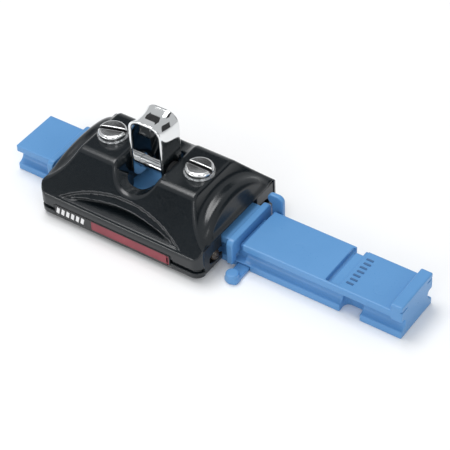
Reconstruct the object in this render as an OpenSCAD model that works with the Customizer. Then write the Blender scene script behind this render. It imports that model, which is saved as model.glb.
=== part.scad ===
// Small-boat traveler car with a pivoting shackle, sitting on its ball-retaining loader.
// Millimetres. X runs along the track, Y across it, Z up. The loader stands on Z = 0
// and the origin is under the middle of its length. NODES lists the separate pieces.

/* [Loader] */
// Overall length of the loader
loader_len = 176; // [140:1:220]
// Width over the top flanges, the same as the track
loader_w = 22; // [18:0.5:28]
// Height of the loader's top face
loader_h = 12.2; // [9:0.1:16]
// Thickness of the flange tip
flange_t = 1.6; // [1:0.1:3]
// Half width of the waist between the ball grooves
waist_y = 8.4; // [6:0.1:8.5]
// Height of the sloping foot where it meets the side
foot_z = 2.8; // [1:0.1:3]
// Height of the raised lip at the far end
end_lip_h = 3.2; // [1:0.1:5]
// Length of that lip along the loader
end_lip_len = 4.8; // [3:0.1:8]
// Position of the shallow cross slot in the top face
cross_slot_x = 56.3; // [40:0.1:70]
// Width of the cross slot
cross_slot_w = 2; // [1:0.1:4]
// Start of the finger notch in the front foot
finger_notch_x = 62; // [50:0.5:75]
// Length of the finger notch
finger_notch_len = 8.6; // [4:0.1:14]

/* [Stops and latch] */
// Inner face of the stop beside the car, far end
stop_x = 14.2; // [12:0.1:20]
// Thickness of the stops along the loader
stop_t = 2.8; // [2:0.1:5]
// Half width of the stops
stop_y = 13.6; // [12:0.1:16]
// Top of the stops
stop_top = 13.4; // [12.5:0.1:16]
// Width of the open groove next to the far stop
relief_w = 2.8; // [1:0.1:5]
// Width of the release latch along the loader
latch_w = 5; // [3:0.1:8]
// Reach of the release tab in front of the centre line
latch_reach = 20.8; // [16:0.1:28]
// Thickness of the latch strip
latch_t = 1.9; // [1:0.1:3]
// Top of the latch knob
knob_top = 18.2; // [15:0.1:22]

/* [Car body] */
// Centre of the car along the loader
car_x = -26.5; // [-40:0.5:0]
// Length of the car
car_len = 76; // [60:1:100]
// Width of the car over the skirts
car_w = 54; // [44:0.5:64]
// Clearance under the skirts
skirt_z = 2; // [1:0.1:4]
// Height of the flat deck on top
deck_z = 28; // [24:0.1:34]
// Half width of the deck where the slope would meet it
deck_y = 12.5; // [9:0.1:16]
// Height where the slope would meet the side
side_z = 10.9; // [8:0.1:14]
// Radius along the edge of the deck
shoulder_r = 5; // [2:0.1:8]
// Radius between slope and side
ledge_r = 2.5; // [1:0.1:4]
// Plan radius of the four corners
corner_r = 4; // [2:0.1:8]
// Ceiling of the channel over the loader
channel_z = 13.9; // [13:0.1:16]
// Half width of the channel
channel_y = 11.7; // [11.3:0.1:13]
// Lower edge of the end walls
end_edge_z = 14.6; // [14:0.1:17]
// Inner face of the side walls that reach past the end caps
cap_y = 23.2; // [23.1:0.1:24]
// Distance from the car's centre to the end scoops, on the deck
scoop_x = 26.8; // [22:0.1:32]
// Concave radius of the end scoops
scoop_r = 23.8; // [14:0.1:40]
// Inset of the arched end wall inside the car's outline
arch_inset = 5; // [3:0.1:8]
// Top of the arched end wall
arch_z = 23.2; // [20:0.1:27]
// Radius of the saddle across the deck
saddle_r = 10; // [8:0.1:13]
// Height of the saddle's axis
saddle_z = 30.5; // [28:0.1:36]
// Half length across the car of the shackle well
well_y = 13; // [8:0.1:16]
// Half width along the car of the slots for the shackle's legs
well_x = 8.6; // [8:0.1:10]
// Half length across the car of those slots
slot_y = 6.8; // [6.4:0.1:9]
// Half width along the car of the open well between them
throat_x = 6.2; // [5:0.1:8]
// Half length of the side crescents
crescent_x = 25; // [15:0.5:32]
// Rise of the crescents up the slope
crescent_rise = 7.2; // [4:0.1:12]
// Depth of the crescents at the top
crescent_depth = 2; // [0.5:0.1:3]
// Bottom and height of the groove round the skirt
groove_z = 4.4; // [3:0.1:6]
// Height of the groove
groove_h = 1.8; // [1:0.1:3]
// Depth of the groove
groove_d = 1.4; // [0.5:0.1:2]

/* [Balls] */
// Ball diameter
ball_d = 4.76; // [3:0.01:6]
// Offset of the loaded row from the centre line
load_y = 11; // [10:0.1:12]
// Offset of the return row
return_y = 20.4; // [18:0.1:22]
// Height of both rows
ball_z = 6.6; // [5:0.1:9]
// Radial room round the balls
ball_room = 0.22; // [0.1:0.01:0.5]
// Length of the straight part, half
turn_x = 31.6; // [28:0.1:34]
// Balls in each straight row
row_count = 13; // [9:1:15]

/* [Shackle and pin] */
// Outside width of the shackle along the car
shackle_w = 15.6; // [12:0.1:20]
// Depth of the strap across the car
shackle_d = 12; // [8:0.1:16]
// Strap thickness
strap_t = 1.4; // [1:0.1:3]
// Top of the bow
bow_z = 46.3; // [38:0.1:60]
// Outside radius of the bow's corners
bow_r = 5.4; // [2:0.1:7]
// Pin diameter
pin_d = 4.8; // [3:0.1:6]
// Height of the pin
pin_z = 21.7; // [20:0.1:25]
// Pin length
pin_len = 33; // [24:0.1:34]
// Radial running clearance on the pin
pin_fit = 0.05; // [0.01:0.01:0.1]

/* [Screws and labels] */
// Distance of each screw from the car's centre
screw_x = 20.3; // [18:0.1:24]
// Head diameter
head_d = 11.2; // [9:0.1:13]
// Head height
head_h = 2.7; // [2:0.1:4]
// Shank diameter
shank_d = 6; // [4:0.1:8]
// Shank length
shank_len = 10.5; // [6:0.5:12]
// Slot width
slot_w = 1.6; // [1:0.1:2.5]
// Slot depth
slot_d = 1.3; // [0.5:0.1:2]
// Washer thickness
washer_t = 0.5; // [0.3:0.1:1]
// Washer diameter
washer_d = 12.2; // [10:0.1:14]
// Label start, measured from the car's centre
label_x0 = -30.2; // [-32:0.1:-20]
// Label end
label_x1 = 25.7; // [20:0.1:31]
// Label bottom
label_z0 = 3; // [2.2:0.1:5]
// Label height
label_h = 5.2; // [3:0.1:7]

/* [Hidden] */
$fn = 64;
loader_hy = loader_w / 2;
car_hx = car_len / 2;
car_hy = car_w / 2;
slope_len = sqrt(pow(car_hy - deck_y, 2) + pow(deck_z - side_z, 2));
slope_ny = (deck_z - side_z) / slope_len;
slope_nz = (car_hy - deck_y) / slope_len;
slope_tilt = atan2(deck_z - side_z, car_hy - deck_y);
shoulder_cy = deck_y + (shoulder_r * slope_nz - shoulder_r) / slope_ny;
ledge_cz = deck_z - (ledge_r + slope_ny * (car_hy - ledge_r - deck_y)) / slope_nz;
arch_r = 5.5;
arch_cy = deck_y + (slope_nz * (deck_z - arch_z + arch_r) - arch_inset - arch_r) / slope_ny;
arch_foot_y = deck_y + (slope_nz * (deck_z - end_edge_z) - arch_inset) / slope_ny;
scoop_dx = car_hx - scoop_x;
scoop_dz = deck_z - 15;
scoop_chord = sqrt(scoop_dx * scoop_dx + scoop_dz * scoop_dz);
scoop_off = sqrt(scoop_r * scoop_r - scoop_chord * scoop_chord / 4);
scoop_cx = (scoop_x + car_hx) / 2 + scoop_off * scoop_dz / scoop_chord;
scoop_cz = (deck_z + 15) / 2 + scoop_off * scoop_dx / scoop_chord;
crescent_r = (crescent_x * crescent_x + crescent_rise * crescent_rise) / (2 * crescent_rise);
race_r = ball_d / 2 + ball_room;
row_pitch = 2 * (turn_x - ball_d / 2 - 0.18) / (row_count - 1);
turn_r = (return_y - load_y) / 2;
turn_y = (return_y + load_y) / 2;
cap_top = end_edge_z - 0.6;
head_z = deck_z + washer_t;
latch_x = stop_x + stop_t + 0.5;

blue = [0.36, 0.58, 0.82];
black = [0.13, 0.15, 0.16];
plastic = [0.2, 0.22, 0.23];
steel = [0.86, 0.87, 0.88];

module along_x(len) {
  rotate([90, 0, 90]) linear_extrude(height = len, center = true) children();
}

module from_x(x0, x1) {
  translate([(x0 + x1) / 2, 0, 0]) along_x(x1 - x0) children();
}

module both_y() {
  children();
  mirror([1, 0]) children();
}

// Track-like section: flat top, two ball grooves, splayed foot.
module track_section() {
  both_y() polygon([
    [-0.1, 0], [loader_hy, 0], [loader_hy, foot_z], [waist_y, foot_z + 3],
    [waist_y, loader_h - flange_t - 2], [loader_hy, loader_h - flange_t],
    [loader_hy, loader_h], [-0.1, loader_h]
  ]);
}

module stop_outline(bottom) {
  r = 2.4;
  polygon([
    [-stop_y, bottom], [stop_y, bottom], [stop_y, stop_top - r], [stop_y - r, stop_top],
    [r - stop_y, stop_top], [-stop_y, stop_top - r]
  ]);
  for (s = [-1, 1]) translate([s * (stop_y - r), stop_top - r]) circle(r);
}

module loader() {
  color(blue) {
    difference() {
      from_x(-loader_len / 2, loader_len / 2) track_section();
      // seat for the loose stop and the open groove beside it
      translate([stop_x - 0.05, -20, 6]) cube([stop_t + 0.1, 40, 20]);
      translate([stop_x + stop_t, -20, loader_h - 3]) cube([relief_w, 40, 10]);
      both_sides() translate([stop_x + stop_t, waist_y + 1, foot_z + 0.6])
        cube([relief_w, 10, 12]);
      // shallow cross slot and the nick in the far flange
      translate([cross_slot_x - cross_slot_w / 2, -9.8, loader_h - 1.2])
        cube([cross_slot_w, 20, 5]);
      translate([cross_slot_x, loader_hy - 2.4, 5.5]) cube([3.8, 5, 10]);
      // finger notch through the foot on both sides
      both_sides() translate([finger_notch_x, 5.8, -1]) cube([finger_notch_len, 8, 9.6]);
      // bed for the latch strip
      translate([latch_x - 0.3, -20, -1]) cube([latch_w + 0.6, 40, latch_t + 1.35]);
    }
    // fixed stop at the near end, wrapped round the section
    translate([-67.8 - stop_t, 0, 0]) from_x(0, stop_t) stop_outline(foot_z);
    // raised lip at the far end
    translate([loader_len / 2 - end_lip_len, -loader_hy, loader_h - 0.1])
      cube([end_lip_len, loader_w, end_lip_h + 0.1]);
  }
}

module both_sides() {
  children();
  mirror([0, 1, 0]) children();
}

module stop_clip() {
  color(blue) difference() {
    from_x(stop_x, stop_x + stop_t) stop_outline(foot_z);
    translate([stop_x - 1, -loader_hy - 0.05, -1]) cube([stop_t + 2, loader_w + 0.1, 7.05]);
  }
}

module release_latch() {
  back = stop_y + 0.9;
  color(blue) {
    // strip under the loader, from the tab to the back upright
    translate([latch_x, -latch_reach + 1, 0])
      cube([latch_w, latch_reach + back - 1, latch_t]);
    // rounded pad at the tip
    translate([latch_x + latch_w / 2, -latch_reach + 2.5, 0])
      cylinder(d = latch_w, h = 4.2);
    // upright behind the loader, carrying the knob
    translate([latch_x, back - 2.2, 0]) cube([latch_w, 2.2, knob_top - latch_w / 2]);
    translate([latch_x + latch_w / 2, back, knob_top - latch_w / 2])
      rotate([90, 0, 0]) cylinder(d = latch_w, h = 2.2);
  }
}

// Outline of the car across the track, without the channel.
module car_section() {
  both_y() {
    polygon([
      [-0.1, skirt_z], [car_hy, skirt_z], [car_hy, ledge_cz],
      [car_hy - ledge_r + ledge_r * slope_ny, ledge_cz + ledge_r * slope_nz],
      [shoulder_cy + shoulder_r * slope_ny, deck_z - shoulder_r + shoulder_r * slope_nz],
      [shoulder_cy, deck_z], [-0.1, deck_z]
    ]);
    translate([car_hy - ledge_r, ledge_cz]) circle(ledge_r);
    translate([shoulder_cy, deck_z - shoulder_r]) circle(shoulder_r);
  }
}

// Smaller outline left standing as the arched end wall.
module arch_section() {
  both_y() {
    polygon([
      [-0.1, 9], [arch_foot_y, 9], [arch_foot_y, end_edge_z],
      [arch_cy + arch_r * slope_ny, arch_z - arch_r + arch_r * slope_nz],
      [arch_cy, arch_z], [-0.1, arch_z]
    ]);
  }
}

module car_plan(grow) {
  hx = car_hx + grow;
  hy = car_hy + grow;
  r = corner_r + grow;
  square([2 * hx, 2 * (hy - r)], center = true);
  square([2 * (hx - r), 2 * hy], center = true);
  for (x = [-1, 1])
    for (y = [-1, 1])
      translate([x * (hx - r), y * (hy - r)]) circle(r);
}

module end_scoop() {
  translate([scoop_cx, 0, scoop_cz]) rotate([90, 0, 0])
    cylinder(r = scoop_r, h = 80, center = true, $fn = 128);
}

// Solid outline: scooped at both ends, with the arched end walls left standing.
module car_block() {
  difference() {
    intersection() {
      along_x(car_len) car_section();
      linear_extrude(height = 60) car_plan(0);
    }
    end_scoop();
    mirror([1, 0, 0]) end_scoop();
  }
  from_x(scoop_x - 4, car_hx - 0.2) arch_section();
  from_x(0.2 - car_hx, 4 - scoop_x) arch_section();
}

module crescent_cut() {
  // tilted disc: its rim makes the arc, its face dies out along the ledge
  translate([0, -car_hy + 1.2, side_z + 1.4])
    rotate([slope_tilt, 0, 0])
      rotate([-12, 0, 0])
        translate([0, crescent_rise + 1.6 - crescent_r, 0.35])
          cylinder(r = crescent_r, h = 12, $fn = 128);
}

module well_plan() {
  r = 4.4;
  square([2 * throat_x, 2 * (well_y - r)], center = true);
  square([2 * (throat_x - r), 2 * well_y], center = true);
  for (x = [-1, 1])
    for (y = [-1, 1])
      translate([x * (throat_x - r), y * (well_y - r)]) circle(r);
}

// Slots in which the shackle's legs hang and swing, sloping out at 45 degrees.
module leg_slots() {
  rise = 12.2;
  along_x(2 * well_x) polygon([
    [-slot_y, channel_z - 1], [slot_y, channel_z - 1], [slot_y, slot_y + rise],
    [deck_z - rise, deck_z], [rise - deck_z, deck_z], [-slot_y, slot_y + rise]
  ]);
}

module car_body() {
  color(black) translate([car_x, 0, 0]) difference() {
    car_block();
    // channel for the track
    along_x(car_len + 2) translate([-channel_y, -1]) square([2 * channel_y, channel_z + 1]);
    // room for the end caps
    for (s = [0, 1]) mirror([s, 0, 0])
      translate([turn_x, -cap_y, -1]) cube([20, 2 * cap_y, end_edge_z + 1]);
    // saddle across the deck and the well for the shackle
    translate([0, 0, saddle_z]) rotate([90, 0, 0])
      cylinder(r = saddle_r, h = 80, center = true);
    translate([0, 0, channel_z - 1]) linear_extrude(height = 30) well_plan();
    leg_slots();
    // crescents
    crescent_cut();
    mirror([0, 1, 0]) crescent_cut();
    // groove round the skirt, label seats
    translate([0, 0, groove_z]) linear_extrude(height = groove_h) difference() {
      square([100, 80], center = true);
      car_plan(-groove_d);
    }
    for (a = [0, 180]) rotate([0, 0, a]) translate([label_x0, -car_hy - 1, label_z0])
      cube([label_x1 - label_x0, 1.25, label_h]);
    // races
    both_sides() {
      translate([0, load_y, ball_z]) rotate([0, 90, 0])
        cylinder(r = race_r, h = 90, center = true);
      translate([0, return_y, ball_z]) rotate([0, 90, 0])
        cylinder(r = race_r, h = 90, center = true);
    }
    // pin bore, screw holes
    translate([0, 0, pin_z]) rotate([0, 90, 0])
      cylinder(d = pin_d, h = 2 * screw_x, center = true);
    for (x = [-screw_x, screw_x])
      translate([x, 0, deck_z - 12]) cylinder(d = shank_d + 0.1, h = 20);
  }
}

// One end cap: the block that turns the balls round, at +X and -Y.
module cap_shape() {
  difference() {
    translate([turn_x + 0.05, -cap_y + 0.05, skirt_z])
      cube([car_hx - turn_x - 0.35, cap_y - channel_y - 0.1, cap_top - skirt_z]);
    translate([turn_x, -turn_y, ball_z]) rotate([0, 0, -91])
      rotate_extrude(angle = 182) translate([turn_r, 0]) circle(race_r);
  }
}

module cap_front_right() {
  color(plastic) translate([car_x, 0, 0]) cap_shape();
}

module cap_front_left() {
  color(plastic) translate([car_x, 0, 0]) mirror([1, 0, 0]) cap_shape();
}

module cap_back_right() {
  color(plastic) translate([car_x, 0, 0]) mirror([0, 1, 0]) cap_shape();
}

module cap_back_left() {
  color(plastic) translate([car_x, 0, 0]) mirror([1, 0, 0]) mirror([0, 1, 0]) cap_shape();
}

module straight_row(y) {
  for (i = [0 : row_count - 1])
    translate([(i - (row_count - 1) / 2) * row_pitch, y, ball_z]) sphere(d = ball_d, $fn = 32);
}

module turning_balls() {
  for (s = [-1, 1])
    for (a = [-62, 0, 62])
      translate([s * (turn_x + turn_r * cos(a)), -turn_y + turn_r * sin(a), ball_z])
        sphere(d = ball_d, $fn = 32);
}

module balls_load_front() {
  color(steel) translate([car_x, 0, 0]) straight_row(-load_y);
}

module balls_return_front() {
  color(steel) translate([car_x, 0, 0]) {
    straight_row(-return_y);
    turning_balls();
  }
}

module balls_load_back() {
  color(steel) translate([car_x, 0, 0]) straight_row(load_y);
}

module balls_return_back() {
  color(steel) translate([car_x, 0, 0]) mirror([0, 1, 0]) {
    straight_row(-return_y);
    turning_balls();
  }
}

module label_shape() {
  translate([label_x0 + 0.1, -car_hy - 0.1, label_z0 + 0.1])
    cube([label_x1 - label_x0 - 0.2, 0.33, label_h - 0.2]);
}

module label_front() {
  color([0.68, 0.27, 0.33]) translate([car_x, 0, 0]) label_shape();
}

module label_back() {
  color([0.68, 0.27, 0.33]) translate([car_x, 0, 0]) rotate([0, 0, 180]) label_shape();
}

// Bow outline in the plane across the car's length, grown or shrunk by g.
module bow_outline(g) {
  hw = shackle_w / 2 + g;
  r = bow_r + g;
  translate([-hw, pin_z]) square([2 * hw, bow_z + g - r - pin_z]);
  translate([-hw + r, pin_z]) square([2 * (hw - r), bow_z + g - pin_z]);
  for (s = [-1, 1]) translate([s * (hw - r), bow_z + g - r]) circle(r);
}

module shackle() {
  color(steel) translate([car_x, 0, 0]) difference() {
    union() {
      rotate([90, 0, 0]) linear_extrude(height = shackle_d, center = true) difference() {
        bow_outline(0);
        bow_outline(-strap_t);
        translate([strap_t - shackle_w / 2, pin_z - 1])
          square([shackle_w - 2 * strap_t, 4]);
      }
      for (s = [-1, 1])
        translate([s * (shackle_w - strap_t) / 2, 0, pin_z]) rotate([0, 90, 0])
          cylinder(d = shackle_d, h = strap_t, center = true);
    }
    translate([0, 0, pin_z]) rotate([0, 90, 0])
      cylinder(r = pin_d / 2 + pin_fit, h = 40, center = true);
  }
}

module shackle_pin() {
  color(steel) translate([car_x, 0, pin_z]) rotate([0, 90, 0])
    cylinder(d = pin_d, h = pin_len, center = true);
}

module pin_washer(s) {
  gap = well_x - shackle_w / 2;
  color(plastic) translate([car_x + s * (shackle_w + gap) / 2, 0, pin_z]) rotate([0, 90, 0])
    difference() {
      cylinder(d = 9, h = gap - 0.1, center = true);
      cylinder(d = pin_d + 0.06, h = 4, center = true);
    }
}

module pin_washer_left() {
  pin_washer(-1);
}

module pin_washer_right() {
  pin_washer(1);
}

// Cheese-head screw with a rounded rim and a straight slot.
module screw(x, turn) {
  rim = 0.9;
  color(steel) translate([car_x + x, 0, head_z]) rotate([0, 0, turn]) difference() {
    union() {
      cylinder(d = head_d, h = head_h - rim);
      cylinder(d = head_d - 2 * rim, h = head_h);
      translate([0, 0, head_h - rim]) rotate_extrude()
        translate([head_d / 2 - rim, 0]) circle(rim);
      translate([0, 0, -shank_len]) cylinder(d = shank_d, h = shank_len + 0.5);
    }
    translate([-10, -slot_w / 2, head_h - slot_d]) cube([20, slot_w, 5]);
  }
}

module screw_left() {
  screw(-screw_x, 18);
}

module screw_right() {
  screw(screw_x, 0);
}

module washer(x) {
  color(steel) translate([car_x + x, 0, deck_z]) difference() {
    cylinder(d = washer_d, h = washer_t);
    translate([0, 0, -1]) cylinder(d = shank_d + 0.4, h = 3);
  }
}

module washer_left() {
  washer(-screw_x);
}

module washer_right() {
  washer(screw_x);
}

loader();
stop_clip();
release_latch();
car_body();
cap_front_left();
cap_front_right();
cap_back_left();
cap_back_right();
balls_load_front();
balls_return_front();
balls_load_back();
balls_return_back();
label_front();
label_back();
shackle();
shackle_pin();
pin_washer_left();
pin_washer_right();
screw_left();
screw_right();
washer_left();
washer_right();
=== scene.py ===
import math

import bpy
import numpy as np
from mathutils import Matrix, Vector


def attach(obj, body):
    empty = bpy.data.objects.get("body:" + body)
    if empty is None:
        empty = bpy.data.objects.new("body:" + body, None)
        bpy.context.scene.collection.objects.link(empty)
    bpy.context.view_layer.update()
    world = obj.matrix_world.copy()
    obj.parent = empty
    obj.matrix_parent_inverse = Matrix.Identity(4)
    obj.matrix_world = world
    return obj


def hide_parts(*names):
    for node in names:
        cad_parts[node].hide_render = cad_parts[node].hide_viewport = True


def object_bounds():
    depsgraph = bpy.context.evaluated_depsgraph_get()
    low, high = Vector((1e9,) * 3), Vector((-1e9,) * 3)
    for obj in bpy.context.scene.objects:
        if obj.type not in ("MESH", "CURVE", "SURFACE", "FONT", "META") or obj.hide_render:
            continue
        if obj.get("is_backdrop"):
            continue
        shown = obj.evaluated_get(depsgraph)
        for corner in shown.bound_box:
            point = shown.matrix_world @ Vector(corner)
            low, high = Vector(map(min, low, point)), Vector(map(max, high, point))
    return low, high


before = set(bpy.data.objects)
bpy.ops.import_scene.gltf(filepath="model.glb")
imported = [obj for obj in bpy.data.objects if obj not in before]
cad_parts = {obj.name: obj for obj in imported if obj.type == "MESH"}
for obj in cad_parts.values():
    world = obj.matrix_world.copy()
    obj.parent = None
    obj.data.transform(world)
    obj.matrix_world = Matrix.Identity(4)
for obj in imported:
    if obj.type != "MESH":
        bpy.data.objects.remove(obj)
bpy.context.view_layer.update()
mm = 0.001
print("frame loaded,", len(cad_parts), "nodes")


# shape rules: signed distances in millimetres, negative inside

def roundMax(a, b, r):
    # both at once, with the outer edge rounded by r
    return np.minimum(np.maximum(a, b), -r) + np.hypot(np.maximum(a + r, 0), np.maximum(b + r, 0))


def roundMin(a, b, r):
    # either one, with the inner corner filled by r
    return -roundMax(-a, -b, r)


def cut(a, b, r):
    return roundMax(a, -b, r)


def slab(v, low, high):
    return np.maximum(low - v, v - high)


def block(x, y, z, low, high, r):
    # rounded box
    c = [(low[i] + high[i]) / 2 for i in range(3)]
    h = [(high[i] - low[i]) / 2 - r for i in range(3)]
    q = [np.abs(x - c[0]) - h[0], np.abs(y - c[1]) - h[1], np.abs(z - c[2]) - h[2]]
    outer = np.sqrt(sum(np.maximum(v, 0) ** 2 for v in q))
    return outer + np.minimum(np.maximum(np.maximum(q[0], q[1]), q[2]), 0) - r


def arc(d, u, v, centre, n1, n2, r):
    # true round corner between two planes whose normals turn from n1 to n2
    p, q = u - centre[0], v - centre[1]
    inWedge = (n1[0] * q - n1[1] * p >= 0) & (p * n2[1] - q * n2[0] >= 0)
    inWedge &= p * (n1[0] + n2[0]) + q * (n1[1] + n2[1]) > 0
    return np.where(inWedge, np.hypot(p, q) - r, d)


def plate(u, v, hu, hv, r):
    # rounded rectangle in two directions
    qu, qv = np.abs(u) - hu + r, np.abs(v) - hv + r
    return np.hypot(np.maximum(qu, 0), np.maximum(qv, 0)) + np.minimum(np.maximum(qu, qv), 0) - r


def ruler(low, high, coarse, fine, spots, reach):
    # grid lines, closer together near the given spots
    marks = [low]
    while marks[-1] < high:
        near = any(abs(marks[-1] - s) < reach for s in spots)
        marks.append(marks[-1] + (fine if near else coarse))
    return np.array(marks)


def skin(shape, xs, ys, zs, passes=3):
    # one vertex in each grid cell that the surface crosses, then pulled on to the surface
    lines = (xs, ys, zs)
    field = shape(*np.meshgrid(xs, ys, zs, indexing="ij"))
    cells = tuple(len(a) - 1 for a in lines)
    quads, owners, hits = [], [], []
    for d in range(3):
        lowCut, highCut = [slice(None)] * 3, [slice(None)] * 3
        lowCut[d], highCut[d] = slice(0, -1), slice(1, None)
        a, b = field[tuple(lowCut)], field[tuple(highCut)]
        at = np.argwhere((a < 0) != (b < 0))
        va, vb = a[tuple(at.T)], b[tuple(at.T)]
        p = np.stack([lines[k][at[:, k]] for k in range(3)], 1)
        p[:, d] += va / (va - vb) * (lines[d][at[:, d] + 1] - lines[d][at[:, d]])
        e, f = (d + 1) % 3, (d + 2) % 3
        corners = []
        for se, sf in ((-1, -1), (0, -1), (0, 0), (-1, 0)):
            c = at.copy()
            c[:, e] += se
            c[:, f] += sf
            corners.append(np.ravel_multi_index(c.T, cells))
        quad = np.stack(corners, 1)
        quad[va > 0] = quad[va > 0][:, ::-1]
        quads.append(quad)
        owners.append(np.concatenate(corners))
        hits.append(np.tile(p, (4, 1)))
    quads, owners, hits = np.concatenate(quads), np.concatenate(owners), np.concatenate(hits)
    used, place = np.unique(owners, return_inverse=True)
    count = np.bincount(place)
    points = np.stack([np.bincount(place, hits[:, k]) / count for k in range(3)], 1)
    faces = np.searchsorted(used, quads)
    h = 0.01
    for _ in range(passes):
        x, y, z = points.T
        value = shape(x, y, z)
        slope = np.stack([shape(x + h, y, z) - shape(x - h, y, z),
                          shape(x, y + h, z) - shape(x, y - h, z),
                          shape(x, y, z + h) - shape(x, y, z - h)], 1) / (2 * h)
        step = value / np.maximum((slope ** 2).sum(1), 0.25)
        points = points - np.clip(step, -0.25, 0.25)[:, None] * slope
    return points, faces


def makePiece(name, points, faces, material, body, stands=()):
    mesh = bpy.data.meshes.new(name)
    mesh.from_pydata((np.asarray(points) * mm).tolist(), [], np.asarray(faces).tolist())
    mesh.validate()
    piece = bpy.data.objects.new(name, mesh)
    bpy.context.scene.collection.objects.link(piece)
    mesh.shade_smooth()
    mesh.materials.append(material)
    return settle(piece, body, stands)


def settle(piece, body, stands=()):
    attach(piece, body)
    if stands:
        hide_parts(*stands)
    print(piece.name, len(piece.data.polygons), "faces")
    return piece


# finishes

def startFinish(name):
    material = bpy.data.materials.new(name)
    material.use_nodes = True
    tree = material.node_tree
    shader = next(n for n in tree.nodes if n.type == "BSDF_PRINCIPLED")
    coords = tree.nodes.new("ShaderNodeTexCoord")
    return material, tree, shader, coords


def addNoise(tree, coords, scale, detail=3.0, stretch=None, place=(0, 0, 0)):
    noise = tree.nodes.new("ShaderNodeTexNoise")
    noise.inputs["Scale"].default_value = scale
    noise.inputs["Detail"].default_value = detail
    source = coords.outputs["Object"]
    if stretch or any(place):
        mapping = tree.nodes.new("ShaderNodeMapping")
        mapping.inputs["Scale"].default_value = stretch or (1, 1, 1)
        mapping.inputs["Location"].default_value = place
        tree.links.new(source, mapping.inputs["Vector"])
        source = mapping.outputs["Vector"]
    tree.links.new(source, noise.inputs["Vector"])
    return noise.outputs["Fac"]


def addRamp(tree, source, stops):
    ramp = tree.nodes.new("ShaderNodeValToRGB")
    first, last = ramp.color_ramp.elements[0], ramp.color_ramp.elements[1]
    first.position, first.color = stops[0][0], (*stops[0][1], 1)
    last.position, last.color = stops[-1][0], (*stops[-1][1], 1)
    for place, colour in stops[1:-1]:
        middle = ramp.color_ramp.elements.new(place)
        middle.color = (*colour, 1)
    tree.links.new(source, ramp.inputs["Fac"])
    return ramp.outputs["Color"]


def addRange(tree, source, low, high, fromLow=0.3, fromHigh=0.7):
    node = tree.nodes.new("ShaderNodeMapRange")
    node.inputs["From Min"].default_value = fromLow
    node.inputs["From Max"].default_value = fromHigh
    node.inputs["To Min"].default_value = low
    node.inputs["To Max"].default_value = high
    tree.links.new(source, node.inputs["Value"])
    return node.outputs["Result"]


def addBump(tree, shader, source, depth, strength=1.0, under=None):
    bump = tree.nodes.new("ShaderNodeBump")
    bump.inputs["Distance"].default_value = depth
    bump.inputs["Strength"].default_value = strength
    tree.links.new(source, bump.inputs["Height"])
    if under is not None:
        tree.links.new(under, bump.inputs["Normal"])
    tree.links.new(bump.outputs["Normal"], shader.inputs["Normal"])
    return bump.outputs["Normal"]


def plasticFinish(name, s):
    # moulded or anodised surface: mottled colour, grain and a few scuffs
    material, tree, shader, coords = startFinish(name)
    cloud = addNoise(tree, coords, s["cloudScale"], 4)
    tree.links.new(addRamp(tree, cloud, [(0.25, s["dark"]), (0.75, s["light"])]), shader.inputs["Base Color"])
    grain = addNoise(tree, coords, s["grainScale"], 5)
    tree.links.new(addRange(tree, grain, s["gloss"][0], s["gloss"][1]), shader.inputs["Roughness"])
    under = addBump(tree, shader, grain, s["grainDepth"])
    scuff = addNoise(tree, coords, s["scuffScale"], 6, s["scuffStretch"])
    addBump(tree, shader, addRange(tree, scuff, 0, 1, 0.56, 0.6), s["scuffDepth"], 1.0, under)
    shader.inputs["IOR"].default_value = s["ior"]
    return material


def steelFinish(name, s):
    # polished or turned steel: slight waviness, hairlines, uneven gloss
    material, tree, shader, coords = startFinish(name)
    shader.inputs["Metallic"].default_value = 1.0
    cloud = addNoise(tree, coords, s["cloudScale"], 3)
    tree.links.new(addRamp(tree, cloud, [(0.3, s["dark"]), (0.7, s["light"])]), shader.inputs["Base Color"])
    smear = addNoise(tree, coords, s["smearScale"], 4, s.get("smearStretch"))
    tree.links.new(addRange(tree, smear, s["gloss"][0], s["gloss"][1]), shader.inputs["Roughness"])
    wave = addNoise(tree, coords, s["waveScale"], 1)
    under = addBump(tree, shader, wave, s["waveDepth"])
    if "turnedAt" in s:
        mapping = tree.nodes.new("ShaderNodeMapping")
        mapping.inputs["Location"].default_value = [-v for v in s["turnedAt"]]
        rings = tree.nodes.new("ShaderNodeTexWave")
        rings.wave_type, rings.rings_direction = "RINGS", "Z"
        rings.inputs["Scale"].default_value = s["ringScale"]
        rings.inputs["Distortion"].default_value = 0.4
        rings.inputs["Detail"].default_value = 2
        tree.links.new(coords.outputs["Object"], mapping.inputs["Vector"])
        tree.links.new(mapping.outputs["Vector"], rings.inputs["Vector"])
        addBump(tree, shader, rings.outputs["Fac"], s["ringDepth"], 1.0, under)
    else:
        hair = addNoise(tree, coords, s["hairScale"], 5, s["hairStretch"])
        addBump(tree, shader, hair, s["hairDepth"], 1.0, under)
    return material


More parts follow.
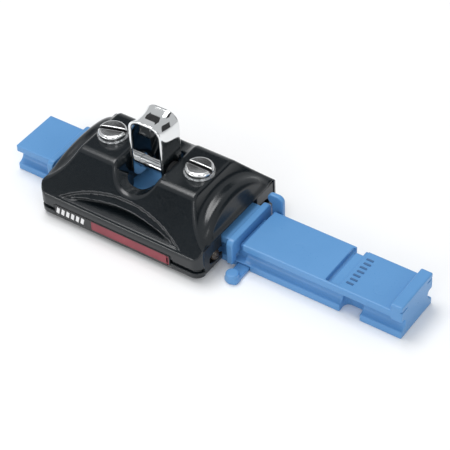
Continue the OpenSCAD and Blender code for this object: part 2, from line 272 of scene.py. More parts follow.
finishes = {
    "carBlack": {"dark": (0.0035, 0.0060, 0.0080), "light": (0.0060, 0.0095, 0.0125), "cloudScale": 45,
                 "gloss": (0.20, 0.27), "grainScale": 1400, "grainDepth": 0.000006,
                 "scuffScale": 60, "scuffStretch": (1, 6, 3), "scuffDepth": 0.000003, "ior": 1.52},
    "capBlack": {"dark": (0.010, 0.012, 0.014), "light": (0.018, 0.021, 0.023), "cloudScale": 70,
                 "gloss": (0.30, 0.42), "grainScale": 1800, "grainDepth": 0.00001,
                 "scuffScale": 90, "scuffStretch": (4, 1, 2), "scuffDepth": 0.000004, "ior": 1.5},
    "loaderBlue": {"dark": (0.088, 0.262, 0.535), "light": (0.112, 0.300, 0.590), "cloudScale": 30,
                   "gloss": (0.27, 0.38), "grainScale": 1300, "grainDepth": 0.000012,
                   "scuffScale": 45, "scuffStretch": (1, 5, 4), "scuffDepth": 0.000006, "ior": 1.47},
    "loaderMark": {"dark": (0.040, 0.120, 0.270), "light": (0.055, 0.150, 0.320), "cloudScale": 60,
                   "gloss": (0.36, 0.47), "grainScale": 1300, "grainDepth": 0.000008,
                   "scuffScale": 60, "scuffStretch": (1, 5, 4), "scuffDepth": 0.000004, "ior": 1.47},
    "ballBrown": {"dark": (0.030, 0.020, 0.013), "light": (0.048, 0.032, 0.021), "cloudScale": 300,
                  "gloss": (0.18, 0.3), "grainScale": 2500, "grainDepth": 0.000003,
                  "scuffScale": 400, "scuffStretch": (1, 1, 3), "scuffDepth": 0.000002, "ior": 1.55},
    "washerBlack": {"dark": (0.012, 0.012, 0.013), "light": (0.022, 0.022, 0.024), "cloudScale": 200,
                    "gloss": (0.4, 0.55), "grainScale": 2500, "grainDepth": 0.000008,
                    "scuffScale": 200, "scuffStretch": (1, 1, 2), "scuffDepth": 0.000003, "ior": 1.48},
    "labelBlack": {"dark": (0.010, 0.011, 0.013), "light": (0.016, 0.017, 0.019), "cloudScale": 120,
                   "gloss": (0.25, 0.34), "grainScale": 1500, "grainDepth": 0.000003,
                   "scuffScale": 120, "scuffStretch": (1, 2, 6), "scuffDepth": 0.000002, "ior": 1.5},
    "labelRed": {"dark": (0.200, 0.022, 0.036), "light": (0.270, 0.034, 0.052), "cloudScale": 160,
                 "gloss": (0.3, 0.42), "grainScale": 1700, "grainDepth": 0.000004,
                 "scuffScale": 120, "scuffStretch": (1, 2, 6), "scuffDepth": 0.000002, "ior": 1.5},
    "labelWhite": {"dark": (0.74, 0.74, 0.75), "light": (0.84, 0.84, 0.84), "cloudScale": 400,
                   "gloss": (0.35, 0.5), "grainScale": 2000, "grainDepth": 0.000004,
                   "scuffScale": 200, "scuffStretch": (1, 2, 6), "scuffDepth": 0.000002, "ior": 1.5},
}
paint = {name: plasticFinish(name, s) for name, s in finishes.items()}
carX = -26.5
screwX = 20.3
steels = {
    "bowSteel": {"dark": (0.78, 0.79, 0.79), "light": (0.86, 0.87, 0.87), "cloudScale": 60,
                 "gloss": (0.035, 0.09), "smearScale": 160, "waveScale": 45, "waveDepth": 0.00003,
                 "hairScale": 900, "hairStretch": (1, 0.15, 1), "hairDepth": 0.000002},
    "pinSteel": {"dark": (0.66, 0.67, 0.68), "light": (0.76, 0.77, 0.78), "cloudScale": 80,
                 "gloss": (0.12, 0.22), "smearScale": 300, "waveScale": 100, "waveDepth": 0.00002,
                 "hairScale": 1200, "hairStretch": (2, 0.4, 0.4), "hairDepth": 0.000004},
    "washerSteel": {"dark": (0.52, 0.53, 0.54), "light": (0.64, 0.65, 0.66), "cloudScale": 150,
                    "gloss": (0.2, 0.32), "smearScale": 300, "waveScale": 150, "waveDepth": 0.00002,
                    "hairScale": 900, "hairStretch": (1, 0.3, 1), "hairDepth": 0.000005},
}
for side, sign in (("Left", -1), ("Right", 1)):
    steels["screwSteel" + side] = {
        "dark": (0.70, 0.71, 0.71), "light": (0.82, 0.82, 0.82), "cloudScale": 120,
        "gloss": (0.10, 0.20), "smearScale": 220, "waveScale": 160, "waveDepth": 0.00003,
        "turnedAt": ((carX + sign * screwX) * mm, 0, 0), "ringScale": 520, "ringDepth": 0.000012}
paint.update({name: steelFinish(name, s) for name, s in steels.items()})
print("finishes made:", len(paint))


# car body: an arched block with swept ends, saddle, well and side crescents

car = {
    "halfLength": 38, "halfWidth": 27, "skirt": 2, "deck": 28, "deckEdge": 12.5, "sideTop": 10.9,
    "shoulder": 5, "ledge": 2.5, "corner": 4, "channelTop": 13.9, "channelHalf": 11.7,
    "endEdge": 14.6, "scoopStart": 26.8, "scoopFoot": 15, "scoopRadius": 23.8, "scoopRound": 0.9,
    "archHalf": 20.6, "archTop": 23.9, "archBase": 12.6, "archLean": 0.34, "archRound": 2.3, "archFillet": 1.6,
    "archFrom": 24, "archFloor": 11, "wellFloor": 12, "pinBore": 2.42, "screwBore": 3.05, "screwBoreFloor": 16,
    "saddleRadius": 10, "saddleAxis": 30.5, "saddleRound": 1.1, "throatX": 6.2, "wellY": 13, "wellRadius": 4.4,
    "slotX": 8.6, "slotY": 6.8, "slotRise": 12.2, "capY": 23.2,
    "upperArc": (25.2, 8.8, 7.2), "lowerArc": (24.4, 5.1, 4.5), "lipDepth": 0.75, "shelf": 12.0, "shelfRise": 0.1,
    "grooveLow": 4.4, "grooveHigh": 6.2, "grooveDepth": 1.4, "turnX": 31.6,
    "labelLow": -30.2, "labelHigh": 25.7, "labelZ": 3, "labelHeight": 5.2,
    "loadY": 11, "returnY": 20.4, "ballZ": 6.6, "raceRadius": 2.6, "pinZ": 21.7,
}
slopeLen = math.hypot(car["halfWidth"] - car["deckEdge"], car["deck"] - car["sideTop"])
slopeN = ((car["deck"] - car["sideTop"]) / slopeLen, (car["halfWidth"] - car["deckEdge"]) / slopeLen)


def slopePlane(ay, z):
    return (ay - car["deckEdge"]) * slopeN[0] + (z - car["deck"]) * slopeN[1]


def carSection(ay, z):
    d = np.maximum(np.maximum(ay - car["halfWidth"], z - car["deck"]), slopePlane(ay, z))
    r = car["ledge"]
    cz = car["deck"] - (r + slopeN[0] * (car["halfWidth"] - r - car["deckEdge"])) / slopeN[1]
    d = arc(d, ay, z, (car["halfWidth"] - r, cz), (1, 0), slopeN, r)
    r = car["shoulder"]
    cy = car["deckEdge"] + (r * slopeN[1] - r) / slopeN[0]
    return arc(d, ay, z, (cy, car["deck"] - r), slopeN, (0, 1), r)


def archSection(ay, z):
    # low elliptical arch over the track
    a, b = car["archHalf"], car["archTop"] - car["archBase"]
    u, v = ay, np.maximum(z - car["archBase"], 0)
    near, grade = np.hypot(u / a, v / b), np.hypot(u / a ** 2, v / b ** 2)
    return near * (near - 1) / np.maximum(grade, 0.001)


def carPlan(ax, ay, grow=0.0):
    return plate(ax, ay, car["halfLength"] + grow, car["halfWidth"] + grow, car["corner"] + grow)


def scoop(ax, z):
    r, run, drop = car["scoopRadius"], car["halfLength"] - car["scoopStart"], car["deck"] - car["scoopFoot"]
    chord = math.hypot(run, drop)
    off = math.sqrt(r * r - chord * chord / 4)
    cx = (car["scoopStart"] + car["halfLength"]) / 2 + off * drop / chord
    cz = (car["deck"] + car["scoopFoot"]) / 2 + off * run / chord
    return np.hypot(ax - cx, z - cz) - r


def crescent(x, ay, z):
    # a shallow arc-shaped step, and below its own arc a deep shelf that runs out to the ledge
    u, v = car["halfWidth"] - 1.2 - ay, z - car["sideTop"] - 1.4
    up = u * slopeN[1] + v * slopeN[0]
    out = v * slopeN[1] - u * slopeN[0]
    shelf = car["shelf"] + car["shelfRise"] * u - z
    arcs = []
    for reach, top, rise in (car["upperArc"], car["lowerArc"]):
        r = (reach * reach + rise * rise) / (2 * rise)
        arcs.append(np.hypot(x, up - top + r) - r)
    step = np.maximum(np.maximum(arcs[0], -car["lipDepth"] - out), shelf)
    return np.minimum(step, roundMax(arcs[1], shelf, 0.8))


def carBody(x, y, z):
    x = x - carX
    ax, ay = np.abs(x), np.abs(y)
    d = np.maximum(carSection(ay, z), carPlan(ax, ay))
    d = cut(d, scoop(ax, z), car["scoopRound"])
    lean = math.hypot(1, car["archLean"])
    endWall = (ax - car["halfLength"] + 0.2 + car["archLean"] * (z - car["endEdge"])) / lean
    arch = roundMax(archSection(ay, z), endWall, car["archRound"])
    arch = np.maximum(arch, np.maximum(car["archFrom"] - ax, car["archFloor"] - z))
    d = roundMin(d, arch, car["archFillet"])
    d = roundMax(d, car["skirt"] - z, 0.4)
    d = cut(d, np.maximum(ay - car["channelHalf"], z - car["channelTop"]), 0.35)
    d = cut(d, np.maximum(np.maximum(car["turnX"] - ax, z - car["endEdge"]), ay - car["capY"]), 0.3)
    d = cut(d, np.hypot(x, z - car["saddleAxis"]) - car["saddleRadius"], car["saddleRound"])
    well = np.maximum(plate(x, y, car["throatX"], car["wellY"], car["wellRadius"]), car["wellFloor"] - z)
    swing = np.minimum(ay - car["slotY"], (ay + car["slotRise"] - z) * 0.707)
    legs = np.maximum(np.maximum(ax - car["slotX"], swing), car["wellFloor"] - z)
    d = cut(d, np.minimum(well, legs), 0.45)
    d = cut(d, crescent(x, ay, z), 0.3)
    groove = np.maximum(slab(z, car["grooveLow"], car["grooveHigh"]), -carPlan(ax, ay, -car["grooveDepth"]))
    d = cut(d, groove, 0.15)
    mirrored = x * np.where(y < 0, 1, -1)
    seat = block(mirrored, -ay, z, (car["labelLow"], -car["halfWidth"] - 5, car["labelZ"]),
                 (car["labelHigh"], -car["halfWidth"] + 0.25, car["labelZ"] + car["labelHeight"]), 0.01)
    d = cut(d, seat, 0.08)
    for row in (car["loadY"], car["returnY"]):
        d = cut(d, np.hypot(ay - row, z - car["ballZ"]) - car["raceRadius"], 0.1)
    d = cut(d, np.maximum(np.hypot(y, z - car["pinZ"]) - car["pinBore"], ax - screwX), 0.1)
    screwHole = np.maximum(np.hypot(ax - screwX, y) - car["screwBore"], car["screwBoreFloor"] - z)
    return cut(d, screwHole, 0.1)


edges = [carX + s * v for s in (-1, 1) for v in (35.5, 38, 33, 29.5, 27, 8.6)]
xs = ruler(carX - 38.7, carX + 39.2, 0.62, 0.42, edges, 1.6)
ys = ruler(-27.9, 28.4, 0.5, 0.34, [-27, -25.5, -24, 24, 25.5, 27], 1.4)
zs = ruler(1.2, 29.3, 0.5, 0.32, [4.4, 6.2, 14.2, 3, 8.2, 2], 0.9)
points, faces = skin(carBody, xs, ys, zs)
makePiece("carBody", points, faces, paint["carBlack"], "car", ["car_body"])


# end caps, with the half ring in which the balls turn

caps = {"gap": 0.05, "endBack": 0.3, "top": 14.0, "edge": 0.35, "turnY": 15.7, "turnRadius": 4.7}


def capShape(x, y, z):
    # the one at the far end on the near side; the others are its mirror images
    low = (car["turnX"] + caps["gap"], -car["capY"] + 0.05, car["skirt"])
    high = (car["halfLength"] - caps["endBack"], -car["channelHalf"] - 0.05, caps["top"])
    d = block(x, y, z, low, high, caps["edge"])
    ring = np.hypot(np.hypot(x - car["turnX"], y + caps["turnY"]) - caps["turnRadius"], z - car["ballZ"])
    return cut(d, ring - car["raceRadius"], 0.15)


xs, ys, zs = np.arange(31, 38.4, 0.27), np.arange(-27.5, -11.2, 0.27), np.arange(1.5, 14.6, 0.27)
points, faces = skin(capShape, xs, ys, zs)
for name, sx, sy in (("cap_front_right", 1, 1), ("cap_front_left", -1, 1),
                     ("cap_back_right", 1, -1), ("cap_back_left", -1, -1)):
    placed = points * (sx, sy, 1) + (carX, 0, 0)
    turned = faces if sx * sy > 0 else faces[:, ::-1]
    words = name.split("_")
    makePiece("endCap" + words[1].title() + words[2].title(), placed, turned, paint["capBlack"], "car",
              [name])


# loader: track section in blue plastic, with stops, slots and a raised end

loader = {
    "halfLength": 88, "halfWidth": 11, "top": 12.2, "edge": 0.4,
    "raceZ": 6.1, "raceRadius": 3.0, "raceEdge": 0.45,
    "stopX": 14.2, "stopThick": 2.8, "stopHalf": 13.6, "stopTop": 13.4, "stopRadius": 2.4,
    "relief": 2.8, "slotX": 56.3, "slotWidth": 2, "lipLength": 4.8, "lipHeight": 3.2,
    "fixedStopX": -70.6, "seatFloor": 6, "slotY": (-9.8, 10.2), "slotFloor": 10.2, "nick": (56.3, 60.1, 8.6, 5.5),
    "latchBed": (17.2, 22.8, 2.25), "slit": (12.75, 13.3, 0.8, 7.2),
    "pinRings": ((38.6, -1.6, 2.7), (75.2, -3.4, 2.9)),
    "notchX": 62, "notchLength": 8.6, "bandEnd": 61.2, "bandDepth": 0.45,
}


def trackSection(ay, z):
    # plain bar with a round race for the balls along each side
    bar = roundMax(ay - loader["halfWidth"], slab(z, 0, loader["top"]), loader["edge"])
    race = np.hypot(ay - loader["halfWidth"], z - loader["raceZ"]) - loader["raceRadius"]
    return cut(bar, race, loader["raceEdge"])


def stopOutline(x, ay, z, low):
    h, t, r = loader["stopHalf"], loader["stopTop"], loader["stopRadius"]
    face = np.maximum(plate(ay, z - t + 12, h, 12, r), 2.6 - z)
    return roundMax(face, slab(x, low, low + loader["stopThick"]), 0.5)


def loaderShape(x, y, z):
    ay = np.abs(y)
    d = roundMax(trackSection(ay, z), np.abs(x) - loader["halfLength"], loader["edge"])
    seatEnd = loader["stopX"] + loader["stopThick"]
    d = cut(d, np.maximum(slab(x, loader["stopX"] - 0.05, seatEnd + 0.05), loader["seatFloor"] - z), 0.15)
    d = cut(d, np.maximum(slab(x, seatEnd, seatEnd + loader["relief"]), loader["top"] - 3 - z), 0.4)
    side = np.maximum(slab(x, seatEnd - 1, seatEnd + loader["relief"]), np.maximum(8.2 - ay, 3.2 - z))
    d = cut(d, side, 0.4)
    # shallow slot across, the lower band beyond it and the nick in the far flange
    half = loader["slotWidth"] / 2
    d = cut(d, np.maximum(np.maximum(slab(x, loader["slotX"] - half, loader["slotX"] + half),
                                     slab(y, *loader["slotY"])), loader["slotFloor"] - z), 0.2)
    band = np.maximum(slab(x, loader["slotX"], loader["bandEnd"]), loader["top"] - loader["bandDepth"] - z)
    d = cut(d, np.maximum(band, slab(y, loader["slotY"][0], 30)), 0.15)
    low, high, nickY, nickZ = loader["nick"]
    d = cut(d, np.maximum(slab(x, low, high), np.maximum(nickY - y, nickZ - z)), 0.3)
    # finger notch through the foot, round in plan
    notch = plate(x - loader["notchX"] - loader["notchLength"] / 2, ay - 13.8, loader["notchLength"] / 2, 8, 2.2)
    d = cut(d, np.maximum(notch, z - 8.6), 0.35)
    # bed for the latch strip
    low, high, bedTop = loader["latchBed"]
    d = cut(d, np.maximum(slab(x, low, high), z - bedTop), 0.2)
    d = roundMin(d, stopOutline(x, ay, z, loader["fixedStopX"]), 0.35)
    lipLow = loader["halfLength"] - loader["lipLength"]
    lip = block(x, y, z, (lipLow, -11, 8), (loader["halfLength"], 11, loader["top"] + loader["lipHeight"]), 0.5)
    d = np.minimum(d, lip)
    # thin slit under the lip, open at the end face
    low, high, slitDeep, slitY = loader["slit"]
    slit = np.maximum(slab(z, low, high), np.maximum(loader["halfLength"] - slitDeep - x, slitY - ay))
    d = cut(d, slit, 0.05)
    # faint rings left by the ejector pins
    for ex, ey, er in loader["pinRings"]:
        ring = np.abs(np.hypot(x - ex, y - ey) - er) - 0.14
        d = cut(d, np.maximum(ring, loader["top"] - 0.09 - z), 0.04)
    return np.maximum(d, np.maximum(np.abs(x) - loader["halfLength"], -z))


spots = [-88, -70.6, -67.8, 14.2, 17, 19.8, 22.8, 36, 38.6, 41.2, 55.3, 57.3, 61.2, 60.1, 62, 64, 69, 70.6,
         72.3, 75.2, 78, 83.2, 88]
xs = ruler(-88.8, 88.9, 1.6, 0.36, spots, 1.9)
ys = ruler(-14.4, 14.8, 0.6, 0.33, [-13, -11, -8.3, -7.2, 7.2, 8.3, 11, 13], 1.1)
zs = ruler(-0.6, 16.4, 0.5, 0.27, [0, 3.1, 9.1, 12.2, 13.1, 15.4], 0.8)
points, faces = skin(loaderShape, xs, ys, zs)
makePiece("loaderBar", points, faces, paint["loaderBlue"], "loader", ["loader"])


def clipShape(x, y, z):
    ay = np.abs(y)
    d = stopOutline(x, ay, z, loader["stopX"])
    return cut(d, np.maximum(ay - 11.05, z - 6.05), 0.3)


xs, ys = np.arange(13.7, 17.7, 0.25), ruler(-14.1, 14.5, 0.5, 0.27, [-13, -11, 11, 13], 1.6)
points, faces = skin(clipShape, xs, ys, np.arange(2.1, 14, 0.27))
makePiece("stopClip", points, faces, paint["loaderBlue"], "loader", ["stop_clip"])

latch = {"x": 17.5, "width": 5, "front": -20.8, "back": 14.5, "thick": 1.9, "padTop": 4.2, "knobTop": 18.2}


def latchShape(x, y, z):
    mid, r = latch["x"] + latch["width"] / 2, latch["width"] / 2
    d = block(x, y, z, (latch["x"], latch["front"] + 1.2, 0),
              (latch["x"] + latch["width"], latch["back"], latch["thick"]), 0.35)
    pad = roundMax(np.hypot(x - mid, y - latch["front"] - r) - r, slab(z, 0, latch["padTop"]), 0.6)
    d = roundMin(d, pad, 1.2)
    post = np.maximum(np.abs(x - mid) - r, z - latch["knobTop"] + r)
    post = np.minimum(post, np.hypot(x - mid, z - latch["knobTop"] + r) - r)
    post = np.minimum(post, plate(x - mid + 1.1, z - latch["knobTop"] + 2.1, r + 0.7, 2.1, 2.0))
    post = np.maximum(roundMax(post, slab(y, latch["back"] - 2.2, latch["back"]), 0.6), -z)
    return np.maximum(roundMin(d, post, 0.6), -z)


xs = np.arange(15.1, 23.2, 0.28)
ys, zs = ruler(-21.4, 15.2, 0.9, 0.28, [-20.6, -18, -16, 12, 14.5], 1.7), np.arange(-0.4, 18.9, 0.28)
points, faces = skin(latchShape, xs, ys, zs)
makePiece("releaseLatch", points, faces, paint["loaderBlue"], "latch", ["release_latch"])


# shackle: a polished strap bent over, dished across its crown

bow = {"halfWidth": 7.8, "depth": 12, "strap": 1.4, "top": 46.3, "radius": 5.4, "pinZ": 21.7,
       "pinHole": 2.45, "dish": 1.15, "edge": 0.5}


def bowShape(x, y, z):
    x = x - carX
    middle = bow["strap"] / 2
    outline = plate(x, z - bow["top"] + 30, bow["halfWidth"] - middle, 30 - middle, bow["radius"] - middle)
    outline = np.where(z < 30, np.abs(x) - bow["halfWidth"] + middle, outline)
    crown = np.clip((z - 36) / 8, 0, 1)
    outline = outline + bow["dish"] * crown * crown * (3 - 2 * crown) * (1 - (y / 6) ** 2)
    d = roundMax(np.abs(outline) - middle, np.abs(y) - bow["depth"] / 2, bow["edge"])
    ends = np.hypot(y, z - bow["pinZ"]) - bow["depth"] / 2
    d = roundMax(d, np.where(z < bow["pinZ"], ends, -5), 0.3)
    return cut(d, np.hypot(y, z - bow["pinZ"]) - bow["pinHole"], 0.15)


xs = np.arange(carX - 8.3, carX + 8.4, 0.24)
points, faces = skin(bowShape, xs, np.arange(-6.5, 6.6, 0.24), np.arange(15.2, 46.8, 0.24), 4)
makePiece("shackleBow", points, faces, paint["bowSteel"], "shackle", ["shackle"])


# slotted screws

screw = {"head": 11.2, "height": 2.7, "rim": 0.95, "slot": 1.6, "slotDeep": 1.7, "shank": 6, "shankLong": 10.5,
         "seat": 28.5, "turns": {"Left": 18, "Right": 0}}


def screwShape(x, y, z, centre, turn):
    u, v = x - centre, y
    c, s = math.cos(math.radians(turn)), math.sin(math.radians(turn))
    across = v * c - u * s
    r = np.hypot(u, v)
    d = np.maximum(r - screw["head"] / 2, -(z - screw["seat"]))
    crown = z - screw["seat"] - screw["height"] + 0.006 * r * r
    d = roundMax(d, crown, screw["rim"])
    reach = slab(z, screw["seat"] - screw["shankLong"], screw["seat"] + 0.5)
    d = np.minimum(d, roundMax(r - screw["shank"] / 2, reach, 0.3))
    slot = np.maximum(np.abs(across) - screw["slot"] / 2, screw["seat"] + screw["height"] - screw["slotDeep"] - z)
    return cut(d, slot, 0.2)


for side, sign in (("Left", -1), ("Right", 1)):
    centre = carX + sign * screwX
    xs, ys = np.arange(centre - 6, centre + 6.1, 0.22), np.arange(-6, 6.1, 0.22)
    zs = ruler(17.4, 31.8, 0.6, 0.2, [28.6, 29.6, 30.6, 31.4], 0.9)
    points, faces = skin(lambda x, y, z: screwShape(x, y, z, centre, screw["turns"][side]), xs, ys, zs)
    piece = makePiece("screw" + side, points, faces, paint["screwSteel" + side], "car",
                      ["screw_" + side.lower()])
    # painted shade in the bottom and on the walls of the slot: these faces take the dark washer finish
    mid = points[faces].mean(1)
    c, s = (f(math.radians(screw["turns"][side])) for f in (math.cos, math.sin))
    across = np.abs(mid[:, 1] * c - (mid[:, 0] - centre) * s)
    crest = screw["seat"] + screw["height"]
    paintedSlotShade = across < screw["slot"] / 2 + 0.06
    paintedSlotShade &= (mid[:, 2] > crest - screw["slotDeep"] - 0.08) & (mid[:, 2] < crest - 0.45)
    # the black finish on the slot faces is painted shade, not a real coating
    piece.data.materials.append(paint["washerBlack"])
    piece.data.polygons.foreach_set("material_index", paintedSlotShade.astype(np.int32))


# balls: one sphere on each point of the circuit

balls = {"diameter": 4.76, "rowCount": 13, "turnAngles": (-62, 0, 62), "subdivisions": 3}


def socketOf(tree, name):
    return next(i.identifier for i in tree.interface.items_tree if i.item_type == "SOCKET" and i.name == name)


def ballTree(material):
    tree = bpy.data.node_groups.new("ballRun", "GeometryNodeTree")
    tree.interface.new_socket("Geometry", in_out="INPUT", socket_type="NodeSocketGeometry")
    tree.interface.new_socket("Ball radius", in_out="INPUT", socket_type="NodeSocketFloat")
    tree.interface.new_socket("Geometry", in_out="OUTPUT", socket_type="NodeSocketGeometry")
    start, end = tree.nodes.new("NodeGroupInput"), tree.nodes.new("NodeGroupOutput")
    sphere = tree.nodes.new("GeometryNodeMeshIcoSphere")
    sphere.inputs["Subdivisions"].default_value = balls["subdivisions"]
    smooth = tree.nodes.new("GeometryNodeSetShadeSmooth")
    place = tree.nodes.new("GeometryNodeInstanceOnPoints")
    real = tree.nodes.new("GeometryNodeRealizeInstances")
    dress = tree.nodes.new("GeometryNodeSetMaterial")
    dress.inputs["Material"].default_value = material
    link = tree.links.new
    link(start.outputs["Ball radius"], sphere.inputs["Radius"])
    link(sphere.outputs["Mesh"], smooth.inputs["Geometry"])
    link(start.outputs["Geometry"], place.inputs["Points"])
    link(smooth.outputs["Geometry"], place.inputs["Instance"])
    link(place.outputs["Instances"], real.inputs["Geometry"])
    link(real.outputs["Geometry"], dress.inputs["Geometry"])
    link(dress.outputs["Geometry"], end.inputs["Geometry"])
    return tree


def grown(name, points, tree, values):
    # runs the tree on a set of points and keeps the result as a plain mesh
    seed = bpy.data.meshes.new(name + "Points")
    seed.from_pydata([tuple(c * mm for c in p) for p in points], [], [])
    holder = bpy.data.objects.new(name + "Seed", seed)
    bpy.context.scene.collection.objects.link(holder)
    modifier = holder.modifiers.new("grow", "NODES")
    modifier.node_group = tree
    for label, value in values.items():
        modifier[socketOf(tree, label)] = value
    bpy.context.view_layer.update()
    result = bpy.data.meshes.new_from_object(holder.evaluated_get(bpy.context.evaluated_depsgraph_get()))
    result.name = name
    bpy.data.objects.remove(holder)
    piece = bpy.data.objects.new(name, result)
    bpy.context.scene.collection.objects.link(piece)
    return piece


pitch = 2 * (car["turnX"] - balls["diameter"] / 2 - 0.18) / (balls["rowCount"] - 1)
steps = [(i - (balls["rowCount"] - 1) / 2) * pitch for i in range(balls["rowCount"])]
tree = ballTree(paint["ballBrown"])
for side, sign in (("front", -1), ("back", 1)):
    loaded = [(carX + s, sign * car["loadY"], car["ballZ"]) for s in steps]
    back = [(carX + s, sign * car["returnY"], car["ballZ"]) for s in steps]
    for end in (-1, 1):
        for a in balls["turnAngles"]:
            c, s = math.cos(math.radians(a)), math.sin(math.radians(a))
            back.append((carX + end * (car["turnX"] + caps["turnRadius"] * c),
                         sign * (caps["turnY"] + caps["turnRadius"] * s), car["ballZ"]))
    for kind, row in (("load", loaded), ("return", back)):
        piece = grown("balls" + kind.title() + side.title(), row, tree, {"Ball radius": balls["diameter"] / 2 * mm})
        settle(piece, "car", ["balls_" + kind + "_" + side])


# side labels: a dark film, a red stripe and a row of slanted bars

label = {"film": (-30.1, 25.6, 3.1, 8.1), "stripe": (-12.4, 25.3, 3.5, 7.7), "barStart": -28.4, "barPitch": 2.35,
         "barCount": 6, "barWide": 1.35, "barHigh": 2.9, "barMid": 5.7, "slant": 14, "proud": 0.1}


def sheetPlate(low, high, bottom, top, y0, y1, r):
    def shape(x, y, z):
        d = plate(x - (low + high) / 2, z - (bottom + top) / 2, (high - low) / 2, (top - bottom) / 2, r)
        return roundMax(d, slab(y, y0, y1), 0.03)
    return shape


def barTree(material):
    tree = bpy.data.node_groups.new("slantedBars", "GeometryNodeTree")
    tree.interface.new_socket("Geometry", in_out="INPUT", socket_type="NodeSocketGeometry")
    for name in ("Bar size", "Bar turn"):
        tree.interface.new_socket(name, in_out="INPUT", socket_type="NodeSocketVector")
    tree.interface.new_socket("Geometry", in_out="OUTPUT", socket_type="NodeSocketGeometry")
    start, end = tree.nodes.new("NodeGroupInput"), tree.nodes.new("NodeGroupOutput")
    bar = tree.nodes.new("GeometryNodeMeshCube")
    place = tree.nodes.new("GeometryNodeInstanceOnPoints")
    real = tree.nodes.new("GeometryNodeRealizeInstances")
    dress = tree.nodes.new("GeometryNodeSetMaterial")
    dress.inputs["Material"].default_value = material
    link = tree.links.new
    link(start.outputs["Bar size"], bar.inputs["Size"])
    link(start.outputs["Bar turn"], place.inputs["Rotation"])
    link(start.outputs["Geometry"], place.inputs["Points"])
    link(bar.outputs["Mesh"], place.inputs["Instance"])
    link(place.outputs["Instances"], real.inputs["Geometry"])
    link(real.outputs["Geometry"], dress.inputs["Geometry"])
    link(dress.outputs["Geometry"], end.inputs["Geometry"])
    return tree


bars = barTree(paint["labelWhite"])
outer = car["halfWidth"] + label["proud"]
for side, sign in (("Front", 1), ("Back", -1)):
    for part, (low, high, bottom, top), depth, r, colour in (
            ("Film", label["film"], 0.0, 0.5, "labelBlack"), ("Stripe", label["stripe"], -0.05, 0.25, "labelRed")):
        y0, y1 = -outer + depth, -outer + 0.33
        shape = sheetPlate(low, high, bottom, top, y0, y1, r)
        xs = ruler(low - 0.4, high + 0.4, 2.5, 0.14, [low, high], 0.75)
        zs = ruler(bottom - 0.4, top + 0.4, 0.7, 0.14, [bottom, top], 0.75)
        points, faces = skin(shape, xs, np.arange(y0 - 0.1, y1 + 0.12, 0.05), zs)
        points = points * (sign, sign, 1) + (carX, 0, 0)
        makePiece("label" + part + side, points, faces, paint[colour], "car",
                  ["label_" + side.lower()] if part == "Film" else ())
    row = [(carX + sign * (label["barStart"] + i * label["barPitch"]), -sign * (outer + 0.01), label["barMid"])
           for i in range(label["barCount"])]
    piece = grown("labelBars" + side, row, bars,
                  {"Bar size": (label["barWide"] * mm, 0.12 * mm, label["barHigh"] * mm),
                   "Bar turn": (0, sign * math.radians(label["slant"]), 0)})
    settle(piece, "car")

# plain raised bars where the loader's moulding has its mark
marks = barTree(paint["loaderMark"])
row = [(64.0 + 0.25 * (i % 2), -7.0 + 2.35 * i, loader["top"]) for i in range(7)]
piece = grown("loaderBars", row, marks, {"Bar size": (2.8 * mm, 0.8 * mm, 0.5 * mm), "Bar turn": (0, 0, 0)})
settle(piece, "loader")

# nodes kept as they are
for name, colour in (("shackle_pin", "pinSteel"), ("pin_washer_left", "washerBlack"),
                     ("pin_washer_right", "washerBlack"), ("washer_left", "washerSteel"),
                     ("washer_right", "washerSteel")):
    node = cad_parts[name]
    node.data.materials.clear()
    node.data.materials.append(paint[colour])
    if name == "shackle_pin":
        node.data.shade_smooth()
print("pieces made")


# studio

studio = {"floorSize": 3.0, "sky": 0.6, "backdrop": 1.05}
floorMesh = bpy.data.meshes.new("floor")
s = studio["floorSize"]
floorMesh.from_pydata([(-s, -s, 0), (s, -s, 0), (s, s, 0), (-s, s, 0)], [], [(0, 1, 2, 3)])
floor = bpy.data.objects.new("floor", floorMesh)
bpy.context.scene.collection.objects.link(floor)
material, tree, shader, coords = startFinish("floorPaper")
tree.links.new(addRamp(tree, addNoise(tree, coords, 4), [(0.2, (0.92, 0.92, 0.92)), (0.8, (0.94, 0.94, 0.94))]),
               shader.inputs["Base Color"])
shader.inputs["Roughness"].default_value = 0.9
shader.inputs["Specular IOR Level"].default_value = 0.1
floorMesh.materials.append(material)
floor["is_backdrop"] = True

world = bpy.data.worlds.new("studioSky")
bpy.context.scene.world = world
world.use_nodes = True
sky = next(n for n in world.node_tree.nodes if n.type == "BACKGROUND")
sky.inputs["Color"].default_value = (0.96, 0.98, 1, 1)
rays = world.node_tree.nodes.new("ShaderNodeLightPath")
glow = world.node_tree.nodes.new("ShaderNodeMapRange")
glow.inputs["To Min"].default_value, glow.inputs["To Max"].default_value = studio["sky"], studio["backdrop"]
world.node_tree.links.new(rays.outputs["Is Camera Ray"], glow.inputs["Value"])
world.node_tree.links.new(glow.outputs["Result"], sky.inputs["Strength"])


def softbox(name, place, aim, size, power):
    light = bpy.data.lights.new(name, "AREA")
    light.shape, light.size, light.size_y, light.energy = "RECTANGLE", size[0], size[1], power
    lamp = bpy.data.objects.new(name, light)
    lamp.location = place
    lamp.rotation_mode = "QUATERNION"
    lamp.rotation_quaternion = (Vector(aim) - Vector(place)).to_track_quat("-Z", "Y")
    bpy.context.scene.collection.objects.link(lamp)


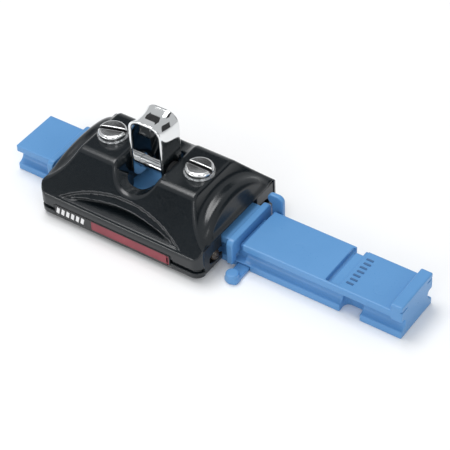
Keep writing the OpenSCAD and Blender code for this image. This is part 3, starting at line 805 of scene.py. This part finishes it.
aim = (-0.01, 0, 0.01)
lights = {  # place, size and power
    "overheadBox": ((-0.22, 0.06, 0.75), (0.45, 0.35), 3.0),
    "frontBox": ((0.10, -0.75, 0.42), (0.40, 0.22), 0.75),
    "rightBox": ((0.75, -0.20, 0.30), (0.22, 0.22), 0.45),
    "archBox": ((0.44, -0.32, 0.56), (0.14, 0.14), 0.45),
    "lowStrip": ((-0.36, -0.62, 0.14), (0.34, 0.05), 0.6),
}
for name, (place, size, power) in lights.items():
    softbox(name, place, aim, size, power)


def darkCard(name, place, aim, size):
    mesh = bpy.data.meshes.new(name)
    w, h = size[0] / 2, size[1] / 2
    mesh.from_pydata([(-w, -h, 0), (w, -h, 0), (w, h, 0), (-w, h, 0)], [], [(0, 1, 2, 3)])
    turn = (Vector(aim) - Vector(place)).to_track_quat("-Z", "Y").to_matrix().to_4x4()
    mesh.transform(Matrix.Translation(place) @ turn)
    card = bpy.data.objects.new(name, mesh)
    bpy.context.scene.collection.objects.link(card)
    mesh.materials.append(paint["washerBlack"])
    card.visible_camera = card.visible_diffuse = card.visible_shadow = False
    card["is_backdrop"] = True


cards = {  # place and size
    "cardBackRight": ((0.40, 0.38, 0.24), (0.34, 0.34)),
    "cardBackLeft": ((-0.30, 0.40, 0.42), (0.28, 0.22)),
    "cardHigh": ((0.10, 0.10, 0.62), (0.14, 0.20)),
    "cardFront": ((-0.30, -0.50, 0.34), (0.34, 0.20)),
}
for name, (place, size) in cards.items():
    darkCard(name, place, aim, size)
print("studio set")

bpy.context.scene.view_settings.view_transform = "Standard"
bpy.context.scene.view_settings.look = "None"

view = {"place": (0.303386, -0.408912, 0.472664), "azimuth": 36.175, "elevation": 42.647, "roll": 2.66, "lens": 145.2}
az, el, roll = (math.radians(view[k]) for k in ("azimuth", "elevation", "roll"))
ahead = Vector((-math.sin(az) * math.cos(el), math.cos(az) * math.cos(el), -math.sin(el)))
right = ahead.cross(Vector((0, 0, 1))).normalized()
down = ahead.cross(right)
right, down = (right * math.cos(roll) + down * math.sin(roll), down * math.cos(roll) - right * math.sin(roll))
camera = bpy.data.objects.new("camera", bpy.data.cameras.new("camera"))
camera.data.lens = view["lens"]
camera.data.clip_start, camera.data.clip_end = 0.01, 20
turn = Matrix((right, -down, -ahead)).transposed()
camera.matrix_world = Matrix.Translation(view["place"]) @ turn.to_4x4()
bpy.context.scene.collection.objects.link(camera)
bpy.context.scene.camera = camera

low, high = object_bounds()
print("done, object box", [round(v / mm, 1) for v in (*low, *high)])
